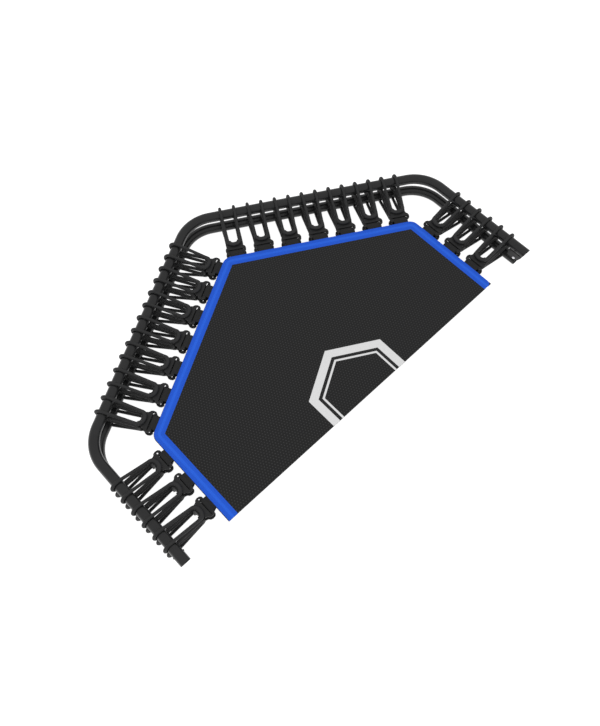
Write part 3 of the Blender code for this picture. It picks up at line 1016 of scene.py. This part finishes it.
def painted_shadow_strip(stations):
    """A thin black strip under the blue tape that reaches just past its outer edge: painted shadow, a fine
    dark line along the binding's outer edge where shade falls.
    """
    profile = [(-1.0, -3.2), (-0.8, -3.04), (11.3, -3.04), (11.5, -3.2), (11.3, -3.36), (-0.8, -3.36)]
    shape = bmesh.new()
    rows = []
    for centre, outward, _ in stations:
        row = []
        for across, rise in profile:
            spot = centre + outward * (TAPE_WIDTH - across * MM)
            row.append(shape.verts.new((spot.x, spot.y, DECK_Z + rise * MM)))
        rows.append(row)

    def uv(row, column):
        return (row * RUN_SPACING, profile[column % len(profile)][0] * MM)

    grid_faces(shape, rows, False, True, uv)
    close_ends(shape, rows)
    tape = add_object("painted_shadow_strip", mesh_from(shape, "painted_shadow_strip", WEBBING, 40))
    register(tape, "mat")


def binding_stitches():
    """Two rows of stitches along the tape, close to its two edges."""
    shape = bmesh.new()
    up = Vector((0, 0, 1))
    pitch = 4.2 * MM
    for across in (3.6 * MM, 21.2 * MM):
        corners = half_hexagon(TAPE_APOTHEM - across, mat_low.y + 4 * MM)
        # The outer row follows the tape's round corners, and stops short of its slanted end.
        if across < TAPE_WIDTH / 2:
            reach = TAPE_WIDTH - across
            arcs = []
            for corner in CORNERS:
                centre = hexagon_point(TAPE_APOTHEM - TAPE_WIDTH, corner)
                for step in range(7):
                    turn = math.radians(corner - 30 + 10 * step)
                    arcs.append(centre + reach * Vector((math.cos(turn), math.sin(turn))))
            corners[0].y += 6 * MM
            corners[1:-1] = arcs
        for before, after in zip(corners, corners[1:]):
            run = after - before
            pieces = max(1, round(run.length / pitch))
            along = Vector((*run.normalized(), 0))
            for step in range(pieces):
                spot = before.lerp(after, (step + 0.5) / pieces)
                centre = Vector((*spot, DECK_Z + 0.02 * MM))
                stitch(shape, centre, along, up, min(3.3 * MM, run.length / pieces * 0.8), 0.26 * MM)
    thread = add_object("binding_stitches", mesh_from(shape, "binding_stitches", BLUE, 60))
    register(thread, "mat")


# ---------------------------------------------------------------- mat
def mat():
    """The woven mat: one taut sheet whose edge runs into the binding's fold."""
    apothem = MAT_APOTHEM + 1.2 * MM
    thick = 1.2 * MM
    cell = 36 * MM
    shape = bmesh.new()
    corners = half_hexagon(apothem, mat_low.y)
    face = shape.faces.new([shape.verts.new((*corner, mat_high.z)) for corner in corners])
    raised = bmesh.ops.extrude_face_region(shape, geom=[face])["geom"]
    lower = [v for v in raised if isinstance(v, bmesh.types.BMVert)]
    bmesh.ops.translate(shape, vec=(0, 0, -thick), verts=lower)
    # The sheet is cut into square cells, so that it has points inside its outline.
    for axis in range(2):
        normal = Vector((axis, 1 - axis, 0))
        for step in range(-11, 12):
            middle = Vector((step * cell, step * cell - 50 * MM, 0))
            geometry = shape.verts[:] + shape.edges[:] + shape.faces[:]
            bmesh.ops.bisect_plane(shape, geom=geometry, plane_co=middle, plane_no=normal)
    sheet = add_object("woven_mat", mesh_from(shape, "woven_mat", MAT, 30))
    register(sheet, "mat", "jump_mat")


def mat_print():
    """A plain printed outline: half of a hexagon about the mat's middle, beside a thinner one."""
    shape = bmesh.new()
    high = mat_high.z + 0.12 * MM
    low = high - 0.1 * MM
    end_y = mat_low.y + 0.2 * MM
    for outer, stroke in ((118 * MM, 20 * MM), (90 * MM, 5 * MM)):
        rows = []
        inner = outer - stroke
        for apothem, z in ((outer, high), (inner, high), (inner, low), (outer, low)):
            corners = half_hexagon(apothem, end_y)
            rows.append([shape.verts.new((*corner, z)) for corner in corners])
        grid_faces(shape, rows, True, False)
        shape.faces.new([row[0] for row in rows])
        shape.faces.new([row[-1] for row in rows])
    ink = add_object("mat_print", mesh_from(shape, "mat_print", INK, 30))
    register(ink, "mat")


# ---------------------------------------------------------------- camera, floor and light
def camera():
    """Looks down at the mat from beyond its left end."""
    place = Vector((-0.5712, CENTRE_Y - 0.3808, DECK_Z + 1.5458))
    towards = Vector((0.2956, 0.3122, -0.9028))
    data = bpy.data.cameras.new("camera")
    data.sensor_width = 36
    data.lens = 35.9
    cam = bpy.data.objects.new("camera", data)
    cam.location = place
    cam.rotation_euler = towards.to_track_quat("-Z", "Y").to_euler()
    bpy.context.scene.collection.objects.link(cam)
    bpy.context.scene.camera = cam


def floor():
    """A pale floor that glows almost white, so that only a trace of shadow shows under the tubes."""
    shape = bmesh.new()
    bmesh.ops.create_grid(shape, x_segments=2, y_segments=2, size=12)
    mesh = bpy.data.meshes.new("floor")
    shape.to_mesh(mesh)
    shape.free()
    made, _, _, shader = start_material("floor_white")
    shader_values(shader, Roughness=1.0, Specular_IOR_Level=0.0, Emission_Strength=0.93)
    shader.inputs["Base Color"].default_value = (0.35, 0.35, 0.35, 1)
    shader.inputs["Emission Color"].default_value = (1, 1, 1, 1)
    mesh.materials.append(made)
    ground = add_object("floor", mesh, Matrix.Translation((0, 0, -0.8 * MM)))
    ground.visible_diffuse = False


def studio_light():
    """An even bright dome above, a darker lower half, and one broad soft lamp overhead."""
    world = bpy.data.worlds.new("studio")
    bpy.context.scene.world = world
    world.use_nodes = True
    nodes = world.node_tree.nodes
    links = world.node_tree.links
    place = nodes.new("ShaderNodeTexCoord")
    split = nodes.new("ShaderNodeSeparateXYZ")
    links.new(place.outputs["Generated"], split.inputs[0])
    spread = nodes.new("ShaderNodeMapRange")
    spread.inputs["From Min"].default_value = -0.12
    spread.inputs["From Max"].default_value = 0.2
    links.new(split.outputs["Z"], spread.inputs["Value"])
    mix = nodes.new("ShaderNodeMix")
    mix.data_type = "RGBA"
    mix.inputs["A"].default_value = (0.06, 0.06, 0.06, 1)
    mix.inputs["B"].default_value = (1.0, 1.0, 1.0, 1)
    links.new(spread.outputs["Result"], mix.inputs["Factor"])
    links.new(mix.outputs["Result"], nodes["Background"].inputs["Color"])
    nodes["Background"].inputs["Strength"].default_value = 0.74
    lamp = bpy.data.lights.new("overhead", "AREA")
    lamp.shape = "DISK"
    lamp.size = 2.4
    lamp.energy = 19
    lamp_obj = bpy.data.objects.new("overhead", lamp)
    lamp_obj.location = (-0.6, -0.6, 2.6)
    lamp_obj.visible_glossy = False
    lamp_obj.rotation_euler = (-lamp_obj.location).to_track_quat("-Z", "Y").to_euler()
    bpy.context.scene.collection.objects.link(lamp_obj)
    bpy.context.scene.view_settings.view_transform = "Standard"


def main():
    frame_tube("upper_tube", "upper_frame_tube", UPPER_Z, upper_low.y, UNDERCUT)
    frame_tube("lower_tube", "lower_frame_tube", LOWER_Z, lower_low.y, 0.0)
    frame_ends()
    hangers()
    binding()
    mat()
    mat_print()
    camera()
    floor()
    studio_light()


main()
